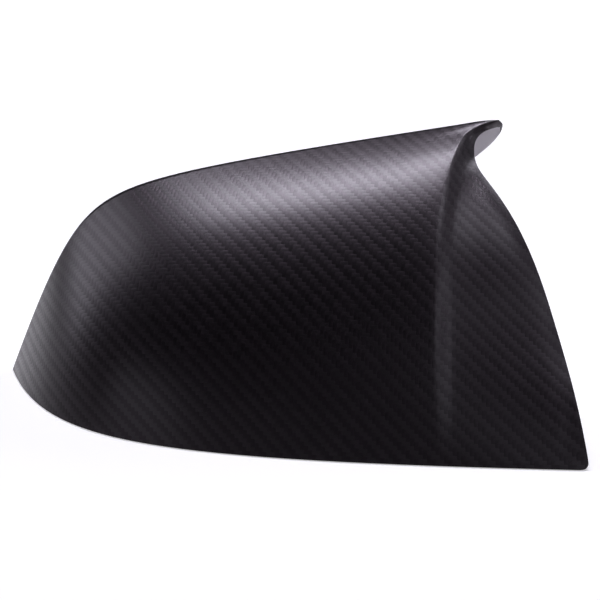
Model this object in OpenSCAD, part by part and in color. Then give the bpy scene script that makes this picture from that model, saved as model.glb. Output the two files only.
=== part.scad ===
// Wing mirror cover: a thin moulded shell that clads the front and the top of a wing mirror housing.
// X runs inboard along the cover, Y towards the mirror glass and Z up. The foot edge lies in Z = 0.
// Three rails run from the sharp outboard corner to the inboard end. A conic section joins them at
// every station along X, and a rolled edge with a return flange follows the roof rail.

/* [Overall] */
// Length from the outboard corner to the inboard corner
cap_length = 246; // [200:1:320]
// Thickness of the moulded wall
wall = 1.2; // [0.8:0.1:1.6]

/* [Foot line] */
// How far the outboard corner lies behind the inboard end of the foot
tip_back = 90; // [70:0.5:110]
// Where the foot line turns, measured inboard from the outboard corner
foot_turn_in = 28.5; // [24:0.5:42]
// Where the foot line turns, measured back from the inboard end of the foot
foot_turn_back = 11.5; // [6:0.5:20]
// How closely the foot line hugs its turning point
foot_fullness = 1.7; // [1.2:0.1:3]

/* [Roof line] */
// Where the rear edge turns at the outboard shoulder, inboard from the outboard corner
roof_turn_in = 34.5; // [28:0.5:42]
// Where the rear edge turns at the outboard shoulder, back from the front of the foot
roof_turn_back = 106; // [95:0.5:116]
// Height of that turn
roof_turn_h = 84; // [70:0.5:96]
// Distance back of the rear edge at the inboard end
roof_end_back = 118; // [108:0.5:132]
// Height of the rear edge at the inboard end
roof_end_h = 112.5; // [98:0.5:122]
// How closely the rear edge hugs its turning point
roof_fullness = 4.1; // [2.5:0.1:5]

/* [Section] */
// Where the guide line between front and roof turns, inboard from the outboard corner
guide_turn_in = 51; // [42:0.5:60]
// Where the guide line turns, back from the front of the foot
guide_turn_back = 38; // [32:0.5:48]
// Height at which the guide line turns
guide_turn_h = 62; // [56:0.5:72]
// Distance back of the guide line at the inboard end
guide_end_back = 66; // [56:0.5:76]
// Height of the guide line at the inboard end
guide_end_h = 104; // [96:0.5:110]
// How closely the guide line hugs its turning point
guide_fullness = 2.9; // [2:0.1:4]
// Fullness of the section at the outboard corner
section_outer = 0.9; // [0.6:0.05:1.2]
// Fullness of the section towards the middle
section_middle = 1.75; // [1.2:0.05:2]
// Fullness of the section at the inboard end
section_inner = 1.05; // [0.9:0.05:1.6]

/* [Inboard panel] */
// Distance from the crown ridge to the inboard end, along the foot
panel_foot_w = 61.5; // [52:0.5:72]
// Distance from the crown ridge to the inboard end, under the roof lip
panel_roof_w = 40; // [34:0.5:46]
// Depth of the step down from the crown to the panel, over its lower part
step_depth = 2.25; // [1:0.25:4]
// Depth of the step at the roof line, where it becomes the front of the lip
step_depth_top = 6; // [4:0.25:7]
// Width of the step beside the panel
step_w = 8.5; // [6:0.5:14]
// Angle at which the panel turns back from the crown, over its lower part
panel_turn = 9; // [5:0.5:12]
// Angle at which the panel turns back under the roof lip
panel_turn_top = 20; // [14:0.5:22]
// How far the crown ridge swings inboard along the roof lip
ridge_swing = 9.5; // [6:0.5:12]

/* [Inboard rim] */
// How far the throat under the roof lip is set back from the inboard corner
throat_in = 40; // [34:0.5:44]
// How softly the raked rim runs into the throat
throat_soft = 3; // [1:0.5:4]
// How far the roof lip reaches inboard of the throat
lip_reach = 14.5; // [10:0.5:18]
// Straight part of the rake of the rim, over the height of the section
rim_rake = 31.5; // [24:0.5:38]
// Bowed part of that rake
rim_bow = 20.5; // [14:0.5:28]
// Width of the strip beside the rim over which the panel curves back
rim_soft_w = 9; // [5:0.5:14]
// How far the rim lies back at the edge of that strip
rim_soft_depth = 1.2; // [0.2:0.2:2]
// Radius of the inboard corner of the foot
foot_corner_r = 3; // [2:0.5:6]
// How far the end of the return flange is cut back under the lip
flange_cut = 14; // [8:0.5:20]

/* [Rolled edge and return] */
// Radius of the rolled rear edge
roll_r = 4; // [2.5:0.5:6]
// Depth of the return flange below the roll
flange_h = 15; // [6:0.5:18]
// Angle through which the rear edge rolls over
roll_angle = 96; // [85:1:110]
// Length over which the return grows to its full depth from the outboard corner
return_run = 36; // [25:1:60]

/* [Smoothness] */
// Stations from the outboard corner to the crown ridge
crown_stations = 34; // [20:1:44]
// Steps along each section from the foot to the roof line
section_steps = 28; // [16:1:36]

/* [Hidden] */

half = cap_length / 2;
corner = [-half, tip_back, 0];

// stations across the step and across the panel
step_stations = 6;
panel_stations = 8;
stations = crown_stations + step_stations + panel_stations;
// rows of the foot corner, round the roll and down the flange, beside those of the section
corner_steps = 3;
roll_steps = 5;
flange_steps = 4;
top_row = corner_steps + section_steps;
rows = top_row + roll_steps + flange_steps;
// largest share of a section that the foot corner may take, where the sections run out to the corner
corner_limit = 0.1;

// stations crowd towards the outboard corner, where the rails climb steeply
crowding = 1.5;
// stations across the panel crowd towards the rim, which curves back softly
rim_crowding = 1.5;
// rows crowd towards the roof line, where the lip swings out
row_crowding = 2;
// share of the section over which the panel reaches its full depth behind the foot line
panel_rise = 0.3;
// shares of the section at which the ridge and the rim begin to swing out to the end of the lip
ridge_swing_from = 0.964;
rim_swing_from = 0.96;
// length used to read a slope off a surface or a rail
nudge = 0.05;

function unit(v) = v / norm(v);
function blend(s) = (1 - cos(180 * max(0, min(1, s)))) / 2;

// the place on a conic rail where it crosses station x
function rail_at(x, from, turn, to, fullness) =
    let (
        lead = fullness * (turn.x - x),
        b = x - from.x,
        a = lead + sqrt(lead * lead + (to.x - x) * b),
        middle = 2 * fullness * a * b
    )
    (a * a * from + middle * turn + b * b * to) / (a * a + middle + b * b);

function foot(x) =
    rail_at(x, corner, [foot_turn_in - half, foot_turn_back, 0], [half, 0, 0], foot_fullness);

function guide(x) =
    rail_at(
        x,
        corner,
        [guide_turn_in - half, guide_turn_back, guide_turn_h],
        [half, guide_end_back, guide_end_h],
        guide_fullness
    );

function roof(x) =
    rail_at(
        x,
        corner,
        [roof_turn_in - half, roof_turn_back, roof_turn_h],
        [half, roof_end_back, roof_end_h],
        roof_fullness
    );

function section_fullness(x) =
    let (a = (x + half) / cap_length, b = 1 - a)
    b * b * section_outer + 2 * a * b * section_middle + a * a * section_inner;

// share of the section that lies below the top of the rounded foot corner
function corner_share(x) = min(corner_limit, foot_corner_r / (2 * section_fullness(x) * guide(x).z));

// the plain crown at station x, with t = 0 on the foot line and t = 1 on the roof line
function crown(x, t) =
    let (u = 1 - t, pull = 2 * t * u * section_fullness(x))
    (u * u * foot(x) + pull * guide(x) + t * t * roof(x)) / (u * u + pull + t * t);

function crown_normal(x, t) =
    let (here = crown(x, t), s = t < 0.5 ? nudge / 10 : -nudge / 10)
    unit(cross(here - crown(x - nudge, t), (crown(x, t + s) - here) / s));

// the crown ridge and the inboard rim, each as a station for a given t; both swing out along the lip
function share_above(t, from) = max(0, (t - from) / (1 - from));
function lip_swing(s) = s * s * (3 - s) / 2;

function ridge_x(t) =
    half
    - panel_foot_w
    + (panel_foot_w - panel_roof_w) * pow(t, 3.5)
    + ridge_swing * blend(share_above(t, ridge_swing_from));

function soft_min(a, b, softness) = (a + b - sqrt((a - b) * (a - b) + softness * softness)) / 2;

function rim_x(t) =
    half
    - soft_min(rim_rake * t + rim_bow * t * t, throat_in, throat_soft)
    + soft_min(0, throat_in, throat_soft)
    + lip_reach * lip_swing(share_above(t, rim_swing_from))
    - foot_corner_r * (1 - sqrt(1 - pow(max(0, 1 - t / corner_share(half)), 2)));

// towards the roof the step deepens, and the panel beyond it turns back more and more
function towards_roof(low, high, t) = low + (high - low) * t * t * t;
function turn_slope(t) = tan(towards_roof(panel_turn, panel_turn_top, t));
function step_depth_at(t) = towards_roof(step_depth, step_depth_top, t);

// how far the panel lies behind the crown, s beyond the ridge
function panel_depth(s, t) =
    let (run = s < step_w ? s * s / step_w / 2 : s - step_w / 2)
    s <= 0 ? 0 : blend(t / panel_rise) * (step_depth_at(t) * blend(s / step_w) + turn_slope(t) * run);

// how far the strip beside the rim curves back beyond the panel
function rim_depth(s, t) =
    blend(t / panel_rise) * rim_soft_depth * pow(max(0, 1 - s / rim_soft_w), 2);

function face(x, t) =
    let (depth = panel_depth(x - ridge_x(t), t) + rim_depth(rim_x(t) - x, t))
    crown(x, t) - depth * crown_normal(x, t);

// the rolled rear edge and its return flange grow out of the outboard corner
function growth(x) = min(1, (x + half) / return_run);

function edge_along(x) = unit(roof(x) - roof(x - nudge));

function rolled(x, angle, drop) =
    let (
        up = crown_normal(x, 1),
        out = unit(cross(up, edge_along(x))),
        r = roll_r * growth(x)
    )
    face(x, 1)
    + r * (sin(angle) * out - (1 - cos(angle)) * up)
    + drop * growth(x) * (cos(angle) * out - sin(angle) * up);

// t, roll angle and flange drop of each row of points, from the foot to the edge of the return
function row_t(j, x) =
    let (share = corner_share(x))
    j < corner_steps
        ? share * (1 - cos(90 * j / corner_steps))
        : 1 - (1 - share) * pow(max(0, top_row - j) / section_steps, row_crowding);
function row_roll(j) = max(0, min(1, (j - top_row) / roll_steps));
function row_drop(j) = max(0, (j - top_row - roll_steps) / flange_steps);

// the three station lines of row j
function row_cut(j) = flange_cut * pow(row_drop(j), 2);
function row_ridge(j) = ridge_x(row_t(j, half)) - row_cut(j);
function row_rim(j) = rim_x(row_t(j, half)) - row_cut(j);
function row_step(j) = min(row_ridge(j) + step_w, (row_ridge(j) + row_rim(j)) / 2);

function station_x(i, j) =
    i <= crown_stations
        ? -half + (row_ridge(j) + half) * pow(i / crown_stations, crowding)
        : i <= crown_stations + step_stations
        ? row_ridge(j) + (row_step(j) - row_ridge(j)) * (i - crown_stations) / step_stations
        : row_rim(j) - (row_rim(j) - row_step(j)) * pow((stations - i) / panel_stations, rim_crowding);

function surface_point(x, j) =
    j <= top_row ? face(x, row_t(j, x)) : rolled(x, roll_angle * row_roll(j), flange_h * row_drop(j));

outer = [
    for (i = [0 : stations])
    [for (j = [0 : rows]) i == 0 ? corner : surface_point(station_x(i, j), j)]
];

function outer_normal(i, j) =
    let (
        i0 = max(0, i - 1),
        i1 = min(stations, max(i, 1) + (i == 0 ? 0 : 1)),
        j0 = max(0, j - 1),
        j1 = min(rows, j + 1),
        k = max(1, i)
    )
    unit(cross(outer[i1][j] - outer[i0][j], outer[k][j1] - outer[k][j0]));

// the inner face lies one wall inside, and near the foot it is lifted so that the foot edge stays level
function inner_point(i, j) =
    let (
        p = outer[i][j],
        n = outer_normal(i, j),
        level = [n.x, n.y, 0],
        sink = wall * n.z,
        lift = n.z > 0 ? sink * exp(-p.z / sink) : 0
    )
    p - wall * n + lift * ([0, 0, 1] - n.z * level / max(level * level, 0.001));

inner = [for (i = [0 : stations]) [for (j = [0 : rows]) inner_point(i, j)]];

// the frame starts in the middle of the box of the part
every_point = [for (line = concat(outer, inner)) each line];
function middle_of(values) = (min(values) + max(values)) / 2;
middle = [middle_of([for (p = every_point) p.x]), middle_of([for (p = every_point) p.y]), 0];

// one point list: both corners, then the outer and the inner face, station by station
face_points = stations * (rows + 1);
function at(layer, i, j) = i == 0 ? layer : 2 + layer * face_points + (i - 1) * (rows + 1) + j;

function quad(a, b, c, d) = [[a, b, c], [a, c, d]];

function skin_faces(layer) = [
    for (i = [0 : stations - 1])
    for (j = [0 : rows - 1])
    let (a = at(layer, i, j), b = at(layer, i + 1, j), c = at(layer, i + 1, j + 1), d = at(layer, i, j + 1))
    each (
        i == 0
            ? [layer == 0 ? [a, c, b] : [a, b, c]]
            : layer == 0 ? quad(a, d, c, b) : quad(a, b, c, d)
    )
];

module mirror_cover() {
    points = concat(
        [corner, inner[0][0]],
        [for (i = [1 : stations]) each outer[i]],
        [for (i = [1 : stations]) each inner[i]]
    );
    foot_faces = [
        for (i = [0 : stations - 1])
        each quad(at(0, i, 0), at(0, i + 1, 0), at(1, i + 1, 0), at(1, i, 0))
    ];
    return_faces = [
        for (i = [0 : stations - 1])
        each quad(at(0, i, rows), at(1, i, rows), at(1, i + 1, rows), at(0, i + 1, rows))
    ];
    rim_faces = [
        for (j = [0 : rows - 1])
        each quad(at(0, stations, j), at(0, stations, j + 1), at(1, stations, j + 1), at(1, stations, j))
    ];
    color("#1b1a1d")
    translate(-middle)
    polyhedron(points, concat(skin_faces(0), skin_faces(1), foot_faces, return_faces, rim_faces));
}

mirror_cover();
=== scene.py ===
"""A wing mirror cover of carbon cloth in a plain studio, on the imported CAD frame, in metres."""

import math

import bmesh
import bpy
from mathutils import Matrix, Vector


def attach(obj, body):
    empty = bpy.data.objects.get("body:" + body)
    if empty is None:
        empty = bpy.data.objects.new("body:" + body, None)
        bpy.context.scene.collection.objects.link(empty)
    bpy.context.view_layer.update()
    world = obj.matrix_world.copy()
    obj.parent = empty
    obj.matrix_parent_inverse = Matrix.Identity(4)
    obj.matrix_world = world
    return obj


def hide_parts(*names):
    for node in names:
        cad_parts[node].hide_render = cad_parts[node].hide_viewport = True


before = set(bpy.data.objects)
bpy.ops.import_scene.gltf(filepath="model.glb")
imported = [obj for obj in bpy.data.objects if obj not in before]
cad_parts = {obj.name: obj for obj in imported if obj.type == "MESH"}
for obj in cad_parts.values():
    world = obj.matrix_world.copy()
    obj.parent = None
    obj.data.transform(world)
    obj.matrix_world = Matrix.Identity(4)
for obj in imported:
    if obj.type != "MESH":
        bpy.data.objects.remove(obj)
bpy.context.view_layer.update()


# The photograph looks along the car towards the front of the cover, from a little above it,
# through a long lens. 84 mm on a 36 mm square sensor is the angle of view of the photograph.

LENS_MM = 84
SENSOR_MM = 36
CAMERA_AT = Vector((0.0082, -0.5389, 0.2927))
CAMERA_DOWN_DEG = 24.51
CAMERA_ROLL_DEG = -0.26

camera = bpy.data.objects.new("camera", bpy.data.cameras.new("camera"))
camera.data.lens = LENS_MM
camera.data.sensor_width = SENSOR_MM
camera.data.clip_start = 0.01
camera.data.clip_end = 60
camera.matrix_world = (
    Matrix.Translation(CAMERA_AT)
    @ Matrix.Rotation(math.radians(90 - CAMERA_DOWN_DEG), 4, "X")
    @ Matrix.Rotation(math.radians(CAMERA_ROLL_DEG), 4, "Z")
)
bpy.context.scene.collection.objects.link(camera)
bpy.context.scene.camera = camera
bpy.context.scene.view_settings.view_transform = "Standard"


# The floor is a wide round of matt white paper, rolled out flat under the cover. It is lifted to
# white only where it is seen, so that the shadow of the cover stays in it and no light is added.

def linear(colour):
    """An sRGB hex colour as linear red, green and blue, with alpha 1."""
    parts = [int(colour[i:i + 2], 16) / 255 for i in (1, 3, 5)]
    return [p / 12.92 if p <= 0.04045 else ((p + 0.055) / 1.055) ** 2.4 for p in parts] + [1.0]


def add_node(tree, kind, settings=None, **links):
    """One node of a tree. settings are its properties, links its inputs: sockets or values."""
    node = tree.nodes.new(kind)
    for name, value in (settings or {}).items():
        setattr(node, name, value)
    for name, value in links.items():
        key = int(name[1:]) if name[0] == "i" and name[1:].isdigit() else name.replace("_", " ")
        if isinstance(value, bpy.types.NodeSocket):
            tree.links.new(value, node.inputs[key])
        else:
            node.inputs[key].default_value = value
    return node


FLOOR_RADIUS_M = 14.0
FLOOR_DROP_M = 0.0004
PAPER = "#f2f2f2"
PAPER_LIFT = 0.36
PAPER_GRAIN_PER_M = 900.0
PAPER_TOOTH_M = 0.0001

floor_mesh = bpy.data.meshes.new("paper_floor")
bm = bmesh.new()
bmesh.ops.create_circle(bm, cap_ends=True, radius=FLOOR_RADIUS_M, segments=96)
bmesh.ops.translate(bm, verts=bm.verts, vec=(0, 0, -FLOOR_DROP_M))
bm.to_mesh(floor_mesh)
bm.free()
floor = bpy.data.objects.new("paper_floor", floor_mesh)
bpy.context.scene.collection.objects.link(floor)

# Matt white paper. What the camera, a reflection or a clear thing sees of it is lifted to white,
# and the shadow of the cover stays in it. From below it is clear, so the underside can be seen.
paper = bpy.data.materials.new("matt_white_paper")
paper.use_nodes = True
tree = paper.node_tree
tree.nodes.clear()
here = add_node(tree, "ShaderNodeTexCoord")
grain = add_node(tree, "ShaderNodeTexNoise", Scale=PAPER_GRAIN_PER_M, Detail=2.0,
                 Vector=here.outputs["Object"])
tooth = add_node(tree, "ShaderNodeBump", Strength=0.05, Distance=PAPER_TOOTH_M,
                 Height=grain.outputs[0])
diffuse = add_node(tree, "ShaderNodeBsdfDiffuse", Color=linear(PAPER), Normal=tooth.outputs[0])
light_path = add_node(tree, "ShaderNodeLightPath")
direct = add_node(tree, "ShaderNodeMath", {"operation": "MAXIMUM"},
                  i0=light_path.outputs["Is Camera Ray"], i1=light_path.outputs["Is Glossy Ray"])
seen = add_node(tree, "ShaderNodeMath", {"operation": "MAXIMUM"}, i0=direct.outputs[0],
                i1=light_path.outputs["Is Transmission Ray"])
lift = add_node(tree, "ShaderNodeMath", {"operation": "MULTIPLY"}, i0=seen.outputs[0],
                i1=PAPER_LIFT)
glow = add_node(tree, "ShaderNodeEmission", Color=linear("#ffffff"), Strength=lift.outputs[0])
lit = add_node(tree, "ShaderNodeAddShader", i0=diffuse.outputs[0], i1=glow.outputs[0])
clear = add_node(tree, "ShaderNodeBsdfTransparent")
facing = add_node(tree, "ShaderNodeNewGeometry")
side = add_node(tree, "ShaderNodeMixShader", i0=facing.outputs["Backfacing"], i1=lit.outputs[0],
                i2=clear.outputs[0])
add_node(tree, "ShaderNodeOutputMaterial", Surface=side.outputs[0])
floor_mesh.materials.append(paper)


# The room is dark, and soft boxes and boards round the cover draw its form in its satin coat. Their
# light is a little cool, and they aren't seen themselves. The long box behind and above draws the
# pale band along the crown.

ROOM = "#161618"
LAMP_TINT = "#f5f3ff"
LAMP_AWAY_M = 3
COVER_MIDDLE = Vector((0, 0, 0.05))

room = bpy.data.worlds.new("studio_room")
bpy.context.scene.world = room
room.use_nodes = True
tree = room.node_tree
tree.nodes.clear()
air = add_node(tree, "ShaderNodeBackground", Color=linear(ROOM), Strength=1.0)
add_node(tree, "ShaderNodeOutputWorld", Surface=air.outputs[0])


def soft_box(name, turn_deg, height_deg, width, depth, radiance):
    """A soft box round the cover. turn_deg is 0 behind the cover and 90 at its inboard end."""
    turn, height = math.radians(turn_deg), math.radians(height_deg)
    level = math.cos(height)
    away = Vector((math.sin(turn) * level, math.cos(turn) * level, math.sin(height)))
    lamp = bpy.data.lights.new(name, "AREA")
    lamp.shape = "RECTANGLE"
    lamp.size, lamp.size_y = width, depth
    lamp.energy = radiance * math.pi * width * depth
    lamp.color = linear(LAMP_TINT)[:3]
    box = bpy.data.objects.new(name, lamp)
    towards_cover = away.to_track_quat("Z", "Y").to_matrix().to_4x4()
    box.matrix_world = Matrix.Translation(COVER_MIDDLE + LAMP_AWAY_M * away) @ towards_cover
    box.visible_camera = False
    bpy.context.scene.collection.objects.link(box)


soft_box("key_soft_box", -1, 70, 2.2, 0.66, 13.4)

# the inboard panel, high and low, and its rim
soft_box("inboard_soft_box", 48, 37, 0.8, 0.7, 4)
soft_box("panel_soft_box", 100, 64, 0.9, 0.7, 2.4)
soft_box("rim_strip", 85, 6, 1.3, 0.6, 12.5)

# the outboard shoulder, the step beside the ridge, and the faint light on the front
soft_box("outboard_soft_box", -71, 31, 1.1, 2.2, 2)
soft_box("inboard_board", 130, 41, 4.0, 0.6, 1)
soft_box("front_board", -133, 19, 1.4, 0.5, 0.8)
soft_box("low_board", -172, 22, 1.4, 0.45, 0.2)


# The cover is one moulded shell, 1.2 mm thick: cloth of carbon tows in epoxy, laid in a mould,
# cured, and trimmed to its outline. Outside it has a satin clear coat. Its inner face has no coat
# and is painted pale grey, a painted reflection of the pale floor.

WELD_M = 0.00001
TRIM_ANGLE_DEG = 50
JOIN_BEND_DEG = 25
JOIN_CORNER_DEG = 100

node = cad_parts["mirror_cover"]
bm = bmesh.new()
bm.from_mesh(node.data)
bmesh.ops.remove_doubles(bm, verts=bm.verts, dist=WELD_M)
bmesh.ops.recalc_face_normals(bm, faces=bm.faces)
bm.normal_update()

# the trimmed edges part the outer face, the inner face and the cut edges
for edge in bm.edges:
    edge.seam = edge.calc_face_angle(0) > math.radians(TRIM_ANGLE_DEG)
bmesh.ops.join_triangles(
    bm, faces=bm.faces, angle_face_threshold=math.radians(JOIN_BEND_DEG),
    angle_shape_threshold=math.radians(JOIN_CORNER_DEG), cmp_seam=True,
)

# The step behind the crown ridge is blocked down by hand under the lip, so that the ridge rolls
# over softly into the throat. Lower down it keeps the form that the mould gave it.
STEP_X_M = (0.058, 0.088)
STEP_BACK_Y_M = 0.050
STEP_FADE_M = 0.006
STEP_LOW_Z_M, STEP_HIGH_Z_M = 0.048, 0.072
STEP_PASSES = 12


def in_step(co):
    """1 in the high part of the step, falling to 0 at its borders and lower down."""
    inside = min(co.x - STEP_X_M[0], STEP_X_M[1] - co.x, STEP_BACK_Y_M - co.y) / STEP_FADE_M
    raised = (co.z - STEP_LOW_Z_M) / (STEP_HIGH_Z_M - STEP_LOW_Z_M)
    return max(0, min(1, inside)) * max(0, min(1, raised))


step_verts = [v for v in bm.verts if in_step(v.co) > 0 and not any(e.seam for e in v.link_edges)]
for _ in range(STEP_PASSES):
    blocked = []
    for vert in step_verts:
        shares = [(1 / edge.calc_length(), edge.other_vert(vert).co) for edge in vert.link_edges]
        middle = sum((share * co for share, co in shares), Vector()) / sum(s for s, _ in shares)
        blocked.append(vert.co.lerp(middle, in_step(vert.co) / 2))
    for vert, place in zip(step_verts, blocked):
        vert.co = place

# The end of the lip is dressed by hand after the cut, so its outline and its skin run in soft
# curves: first all of the lip, then its very end once more. The dressing draws the end in and
# down, so the lip was moulded a little long and high.
LIP_FROM_M = 0.102
LIP_REACH_M = 0.021
LIP_END_REACH_M = 0.010
LIP_PASSES = 18
LIP_END_PASSES = 14
LIP_SPARE_M = Vector((0.0012, 0, 0.0016))


def nearness(vert, reach):
    """1 at the end of the lip, falling to 0 at the given reach from it."""
    return max(0, 1 - ((vert.co - lip_end).length / reach) ** 2)


def dress_lip(reach, passes):
    """Ease the skin near the end of the lip, and the trimmed edge along its own line."""
    near_lip = [vert for vert in bm.verts if nearness(vert, reach) > 0]
    for _ in range(passes):
        eased = []
        for vert in near_lip:
            trimmed = [edge for edge in vert.link_edges if edge.seam]
            beside = [edge.other_vert(vert).co for edge in trimmed or vert.link_edges]
            middle = sum(beside, Vector()) / len(beside)
            eased.append(vert.co.lerp(middle, nearness(vert, reach) / 2))
        for vert, place in zip(near_lip, eased):
            vert.co = place


lip_end = max((v.co for v in bm.verts if v.co.z > LIP_FROM_M), key=lambda co: co.x).copy()
dress_lip(LIP_REACH_M, LIP_PASSES)
dress_lip(LIP_END_REACH_M, LIP_END_PASSES)
for vert in bm.verts:
    vert.co += LIP_SPARE_M * nearness(vert, LIP_REACH_M)


def face_regions(mesh):
    """The faces in regions that the seams part, largest area first."""
    done, regions = set(), []
    for face in mesh.faces:
        if face in done:
            continue
        done.add(face)
        region = [face]
        for member in region:
            for edge in member.edges:
                beside = [f for f in edge.link_faces if not edge.seam and f not in done]
                done.update(beside)
                region.extend(beside)
        regions.append(region)
    return sorted(regions, key=lambda region: -sum(f.calc_area() for f in region))


OUTSIDE, INSIDE, CUT = 0, 1, 2
for slot, region in enumerate(face_regions(bm)):
    for face in region:
        face.material_index = min(slot, CUT)
        face.smooth = True

shell_mesh = bpy.data.meshes.new("carbon_shell")
bm.to_mesh(shell_mesh)
bm.free()
shell = bpy.data.objects.new("carbon_shell", shell_mesh)
bpy.context.scene.collection.objects.link(shell)

# the cloth drapes with as little stretch as it can, so the flat pattern of each face is its unwrap
bpy.context.view_layer.objects.active = shell
bpy.ops.object.mode_set(mode="EDIT")
bpy.ops.mesh.select_all(action="SELECT")
bpy.ops.uv.unwrap(method="MINIMUM_STRETCH")
bpy.ops.object.mode_set(mode="OBJECT")
shell_mesh.uv_layers[0].name = "cloth"

# the flat pattern is then turned so that the weft runs along the cover, and measured in millimetres
WEFT_SET_AT = Vector((0.0, -0.03, 0.035))
MM = 1000

bm = bmesh.new()
bm.from_mesh(shell_mesh)
cloth = bm.loops.layers.uv["cloth"]
for slot in (OUTSIDE, INSIDE):
    faces = [f for f in bm.faces if f.material_index == slot]
    flat_area = 0
    for face in faces:
        corners = [loop[cloth].uv for loop in face.loops]
        flat_area += abs(sum(a.cross(b) for a, b in zip(corners, corners[1:] + corners[:1]))) / 2
    scale = MM * math.sqrt(sum(f.calc_area() for f in faces) / flat_area)

    # the direction of the level line through WEFT_SET_AT, in the flat pattern
    start = min(faces, key=lambda f: (f.calc_center_median() - WEFT_SET_AT).length)
    level = Vector((0, 0, 1)).cross(start.normal).normalized()
    upward = start.normal.cross(level)
    first, second, last = start.loops[0], start.loops[1], start.loops[-1]
    side_a, side_b = second.vert.co - first.vert.co, last.vert.co - first.vert.co
    flat_a, flat_b = second[cloth].uv - first[cloth].uv, last[cloth].uv - first[cloth].uv
    twist = side_a.dot(level) * side_b.dot(upward) - side_a.dot(upward) * side_b.dot(level)
    weft = (flat_a * side_b.dot(upward) - flat_b * side_a.dot(upward)) / twist
    spin = Matrix.Rotation(-math.atan2(weft.y, weft.x), 2)
    for face in faces:
        for loop in face.loops:
            loop[cloth].uv = scale * (spin @ loop[cloth].uv)

# the cut edges are broken with fine paper; at the sharp outboard tip they run out
TRIM_ROUND_M = 0.0003
TIP_M = 0.006

tip = min((v.co for v in bm.verts), key=lambda co: co.x).copy()
crease = bm.edges.layers.float.new("crease_edge")
broken = []
for edge in bm.edges:
    if edge.seam and min((v.co - tip).length for v in edge.verts) < TIP_M:
        edge[crease] = 1.0
    elif edge.seam:
        broken.append(edge)
bmesh.ops.bevel(
    bm, geom=broken, affect="EDGES", offset=TRIM_ROUND_M, segments=2, profile=0.5, material=-1,
    clamp_overlap=True,
)
bm.to_mesh(shell_mesh)
bm.free()
for face in shell_mesh.polygons:
    face.use_smooth = True
smooth = shell.modifiers.new("smooth", "SUBSURF")
smooth.levels = smooth.render_levels = 2

# Carbon cloth under a satin clear coat: 2 by 2 twill of 3K tows, 6 to the centimetre. A tow is a
# dark, shallow dome that dips under its neighbours every second one. Its fibres stretch a highlight
# across themselves, so warp and weft catch the light at different places, and the wales show.
TOW_MM = 1.67
TOW_RISE_MM = 0.06
TOW_FULLNESS = 0.55
TOW_ROUGH_LEAST, TOW_ROUGH_MOST = 0.34, 0.44
QUARTER_TURN = 0.25
# painted sheen: the weft's black is painted a shade lighter than the warp's, for the light its
# fibres catch
CARBON_WARP = "#030203"
CARBON_WEFT_PAINTED_SHEEN = "#050405"
FIBRE_SHEEN = "#ffdef8"
COAT_ROUGH = 0.29
COAT_RISE_MM = 0.004
COAT_WAVE_MM = 0.1
COAT_WAVES_PER_M = 260.0
COAT_ON_WARP = 0.72
COAT_ON_WEFT = 1.0

carbon = bpy.data.materials.new("carbon_twill_satin_coat")
carbon.use_nodes = True
tree = carbon.node_tree
tree.nodes.clear()
cloth_mm = add_node(tree, "ShaderNodeUVMap", {"uv_map": "cloth"})
tows = add_node(tree, "ShaderNodeMapping", Vector=cloth_mm.outputs[0],
                Scale=(1 / TOW_MM, 1 / TOW_MM, 1))
whole = add_node(tree, "ShaderNodeVectorMath", {"operation": "FLOOR"}, i0=tows.outputs[0])
part = add_node(tree, "ShaderNodeVectorMath", {"operation": "FRACTION"}, i0=tows.outputs[0])
place = add_node(tree, "ShaderNodeSeparateXYZ", i0=tows.outputs[0])
cell = add_node(tree, "ShaderNodeSeparateXYZ", i0=whole.outputs[0])
within = add_node(tree, "ShaderNodeSeparateXYZ", i0=part.outputs[0])

# the warp lies on top in two cells of every four, one cell further on in each next tow
diagonal = add_node(tree, "ShaderNodeMath", {"operation": "ADD"}, i0=cell.outputs[0],
                    i1=cell.outputs[1])
repeat = add_node(tree, "ShaderNodeMath", {"operation": "FLOORED_MODULO"}, i0=diagonal.outputs[0],
                  i1=4.0)
warp_up = add_node(tree, "ShaderNodeMath", {"operation": "LESS_THAN"}, i0=repeat.outputs[0], i1=2.0)

# how far along its float of two cells the upper tow is, from 0 to 1
warp_place = add_node(tree, "ShaderNodeMath", {"operation": "ADD"}, i0=cell.outputs[0],
                      i1=place.outputs[1])
weft_place = add_node(tree, "ShaderNodeMath", {"operation": "ADD"}, i0=cell.outputs[1],
                      i1=place.outputs[0])
upper = add_node(tree, "ShaderNodeMix", i0=warp_up.outputs[0], i2=weft_place.outputs[0],
                 i3=warp_place.outputs[0])
float_place = add_node(tree, "ShaderNodeMath", {"operation": "FLOORED_MODULO"},
                       i0=upper.outputs[0], i1=2.0)
along_tow = add_node(tree, "ShaderNodeMath", {"operation": "SUBTRACT"}, i0=float_place.outputs[0],
                     i1=1.0)
across_cell = add_node(tree, "ShaderNodeMix", i0=warp_up.outputs[0], i2=within.outputs[1],
                       i3=within.outputs[0])
across_tow = add_node(tree, "ShaderNodeMath", {"operation": "MULTIPLY_ADD"},
                      i0=across_cell.outputs[0], i1=2.0, i2=-1.0)

# the tow is an ellipse across and an arch along
across_square = add_node(tree, "ShaderNodeMath", {"operation": "MULTIPLY"},
                         i0=across_tow.outputs[0], i1=across_tow.outputs[0])
along_square = add_node(tree, "ShaderNodeMath", {"operation": "MULTIPLY"}, i0=along_tow.outputs[0],
                        i1=along_tow.outputs[0])
across_dome = add_node(tree, "ShaderNodeMath", {"operation": "SUBTRACT"}, i0=1.0,
                       i1=across_square.outputs[0])
along_dome = add_node(tree, "ShaderNodeMath", {"operation": "SUBTRACT"}, i0=1.0,
                      i1=along_square.outputs[0])
dome = add_node(tree, "ShaderNodeMath", {"operation": "MULTIPLY"}, i0=across_dome.outputs[0],
                i1=along_dome.outputs[0])
height = add_node(tree, "ShaderNodeMath", {"operation": "POWER"}, i0=dome.outputs[0],
                  i1=TOW_FULLNESS)
relief = add_node(tree, "ShaderNodeBump", Strength=1.0, Distance=TOW_RISE_MM / MM,
                  Height=height.outputs[0])
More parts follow.
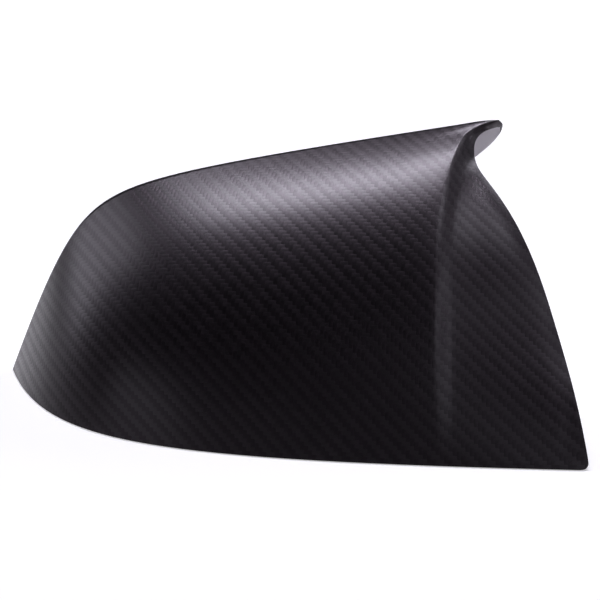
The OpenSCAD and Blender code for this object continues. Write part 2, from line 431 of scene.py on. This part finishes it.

# the fibres of the warp run across those of the weft, and no two tows are quite as rough; the weft
# is painted a shade lighter black than the warp, a painted sheen
fibres = add_node(tree, "ShaderNodeTangent", {"direction_type": "UV_MAP", "uv_map": "cloth"})
fibre_turn = add_node(tree, "ShaderNodeMix", i0=warp_up.outputs[0], i2=QUARTER_TURN,
                      i3=0.0)
# painted sheen: warp and weft get two blacks, the weft's painted a little lighter
black_with_painted_sheen = add_node(tree, "ShaderNodeMix", {"data_type": "RGBA"}, i0=warp_up.outputs[0],
                 i6=linear(CARBON_WEFT_PAINTED_SHEEN), i7=linear(CARBON_WARP))
each_tow = add_node(tree, "ShaderNodeTexWhiteNoise", {"noise_dimensions": "2D"},
                    Vector=whole.outputs[0])
tow_rough = add_node(tree, "ShaderNodeMapRange", i0=each_tow.outputs[0], i1=0.0, i2=1.0,
                     i3=TOW_ROUGH_LEAST, i4=TOW_ROUGH_MOST)

# the clear coat isn't quite level, it is thinner on the warp, and the tows print through a little
here = add_node(tree, "ShaderNodeTexCoord")
coat_wave = add_node(tree, "ShaderNodeTexNoise", Scale=COAT_WAVES_PER_M, Detail=2.0,
                     Vector=here.outputs["Object"])
coat_level = add_node(tree, "ShaderNodeBump", Strength=0.15, Distance=COAT_WAVE_MM / MM,
                      Height=coat_wave.outputs[0])
coat_print = add_node(tree, "ShaderNodeBump", Strength=1.0, Distance=COAT_RISE_MM / MM,
                      Height=height.outputs[0], Normal=coat_level.outputs[0])
coat_share = add_node(tree, "ShaderNodeMix", i0=warp_up.outputs[0], i2=COAT_ON_WEFT,
                      i3=COAT_ON_WARP)
satin = add_node(tree, "ShaderNodeBsdfPrincipled", Base_Color=black_with_painted_sheen.outputs[2],
                 Roughness=tow_rough.outputs[0], Specular_IOR_Level=0.3,
                 Specular_Tint=linear(FIBRE_SHEEN), Anisotropic=0.35,
                 Anisotropic_Rotation=fibre_turn.outputs[0], Tangent=fibres.outputs[0],
                 Normal=relief.outputs[0], Coat_Weight=coat_share.outputs[0],
                 Coat_Roughness=COAT_ROUGH, Coat_IOR=1.5, Coat_Normal=coat_print.outputs[0])
add_node(tree, "ShaderNodeOutputMaterial", Surface=satin.outputs[0])

# The inner face keeps the fine print of the peel ply, a plain cloth of 0.35 mm threads. Its pale
# grey is painted light: a painted reflection of the pale floor in the curled inside of the lip,
# a little lighter in some places. A wave texture of scale 1 repeats every pi / 10 units, and here
# a unit is a millimetre.
PEEL_THREAD_MM = 0.35
PEEL_PRINT_MM = 0.05
# the two pale greys of the inner face are a painted reflection of the pale floor
INNER_PAINTED_PALE = "#e2dee1"
INNER_PAINTED_GREY = "#d0ccd0"
PEEL_WAVE = math.pi / 10 / PEEL_THREAD_MM

inner_face_paint = bpy.data.materials.new("inner_face_painted_reflection")
inner_face_paint.use_nodes = True
tree = inner_face_paint.node_tree
tree.nodes.clear()
cloth_mm = add_node(tree, "ShaderNodeUVMap", {"uv_map": "cloth"})
thread_print = add_node(tree, "ShaderNodeTexWave", {"wave_type": "BANDS", "bands_direction": "X"},
                        Vector=cloth_mm.outputs[0], Scale=PEEL_WAVE)
cross_print = add_node(tree, "ShaderNodeTexWave", {"wave_type": "BANDS", "bands_direction": "Y"},
                       Vector=cloth_mm.outputs[0], Scale=PEEL_WAVE)
print_height = add_node(tree, "ShaderNodeMath", {"operation": "MULTIPLY"},
                        i0=thread_print.outputs[1], i1=cross_print.outputs[1])
print_bump = add_node(tree, "ShaderNodeBump", Strength=0.6, Distance=PEEL_PRINT_MM / MM,
                      Height=print_height.outputs[0])
here = add_node(tree, "ShaderNodeTexCoord")
patches = add_node(tree, "ShaderNodeTexNoise", Scale=45.0, Detail=3.0, Vector=here.outputs["Object"])
# painted reflection: two pale greys mixed at random over the inner face
painted_pale = add_node(tree, "ShaderNodeMix", {"data_type": "RGBA"}, i0=patches.outputs[0],
                 i6=linear(INNER_PAINTED_GREY), i7=linear(INNER_PAINTED_PALE))
matt = add_node(tree, "ShaderNodeBsdfPrincipled", Base_Color=painted_pale.outputs[2], Roughness=0.5,
                Normal=print_bump.outputs[0])
add_node(tree, "ShaderNodeOutputMaterial", Surface=matt.outputs[0])

# The cut edge is sanded carbon and epoxy, sealed with the same coat. The ends of the plies show as
# a faint dark grain.
PLY_LINE_MM = 0.24
SANDING_MM = 0.03
EDGE_DARK = "#161518"
EDGE_PALE = "#2a282c"

cut = bpy.data.materials.new("sealed_cut_edge")
cut.use_nodes = True
tree = cut.node_tree
tree.nodes.clear()
here = add_node(tree, "ShaderNodeTexCoord")
sanding = add_node(tree, "ShaderNodeTexNoise", Scale=MM / PLY_LINE_MM, Detail=2.0,
                   Vector=here.outputs["Object"])
edge_tone = add_node(tree, "ShaderNodeMix", {"data_type": "RGBA"}, i0=sanding.outputs[0],
                     i6=linear(EDGE_DARK), i7=linear(EDGE_PALE))
edge_bump = add_node(tree, "ShaderNodeBump", Strength=0.4, Distance=SANDING_MM / MM,
                     Height=sanding.outputs[0])
sealed = add_node(tree, "ShaderNodeBsdfPrincipled", Base_Color=edge_tone.outputs[2], Roughness=0.42,
                  Normal=edge_bump.outputs[0])
add_node(tree, "ShaderNodeOutputMaterial", Surface=sealed.outputs[0])

for material in (carbon, inner_face_paint, cut):
    shell_mesh.materials.append(material)
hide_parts("mirror_cover")
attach(shell, "root")
